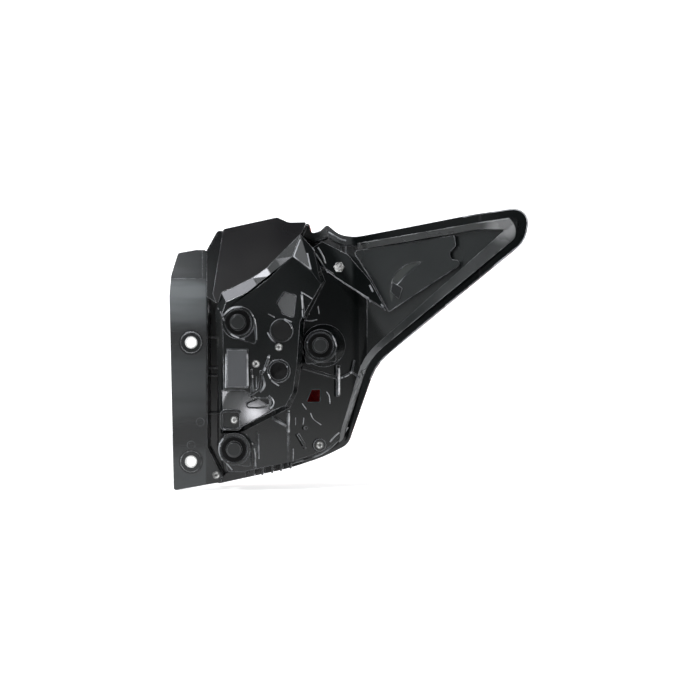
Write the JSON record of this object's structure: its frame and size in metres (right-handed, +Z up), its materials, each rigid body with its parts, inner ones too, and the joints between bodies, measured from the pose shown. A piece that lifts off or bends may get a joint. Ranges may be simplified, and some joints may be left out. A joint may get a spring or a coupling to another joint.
{
  "type": "tail light cluster",
  "caption": "Rear lamp of a car with a long side wing: moulded housing with a bolted flange, curved red lens, plated reflector and bayonet bulb holders.",
  "frame": {"origin": "midway between the two flange holes, in the plane that bolts to the car", "axes": "+X from the flange towards the wing tip, +Z up, +Y from the car body to the lens"},
  "size_m": [0.4094, 0.1237, 0.3217],
  "materials": {
    "housing_black": "moulded black, semi-gloss",
    "lens_red": "polished red",
    "lens_clear": "polished clear plastic",
    "sealant": "matt",
    "plated": "vacuum plated",
    "reflex_red": "prismatic red",
    "clear_plastic": "polished",
    "circuit_board": "solder mask",
    "cover_grey": "fine grain",
    "bulb_glass": "clear",
    "bulb_amber": "amber",
    "holder_grey": "fine grain",
    "rubber_black": "matt",
    "filter_foam": "open foam",
    "zinc_steel": "zinc plated",
    "black_steel": "black phosphated"
  },
  "bodies": {
    "root": {"housing": "housing_black", "lens_red": "lens_red", "lens_clear": "lens_clear", "sealant": "sealant", "reflector": "plated", "reflex_panel": "reflex_red", "light_guide": "clear_plastic", "led_board": "circuit_board", "driver_board": "circuit_board", "driver_cover": "cover_grey", "bulb_stop": "bulb_glass", "bulb_turn": "bulb_amber", "bulb_reverse": "bulb_glass", "holder_stop": "holder_grey", "holder_turn": "holder_grey", "holder_reverse": "holder_grey", "seal_stop": "rubber_black", "seal_turn": "rubber_black", "seal_reverse": "rubber_black", "breather_cap": "rubber_black", "breather_filter": "filter_foam", "mount_bushes": "zinc_steel", "stud": "zinc_steel", "screws": "zinc_steel", "wing_clip": "black_steel"}
  },
  "joints": []
}
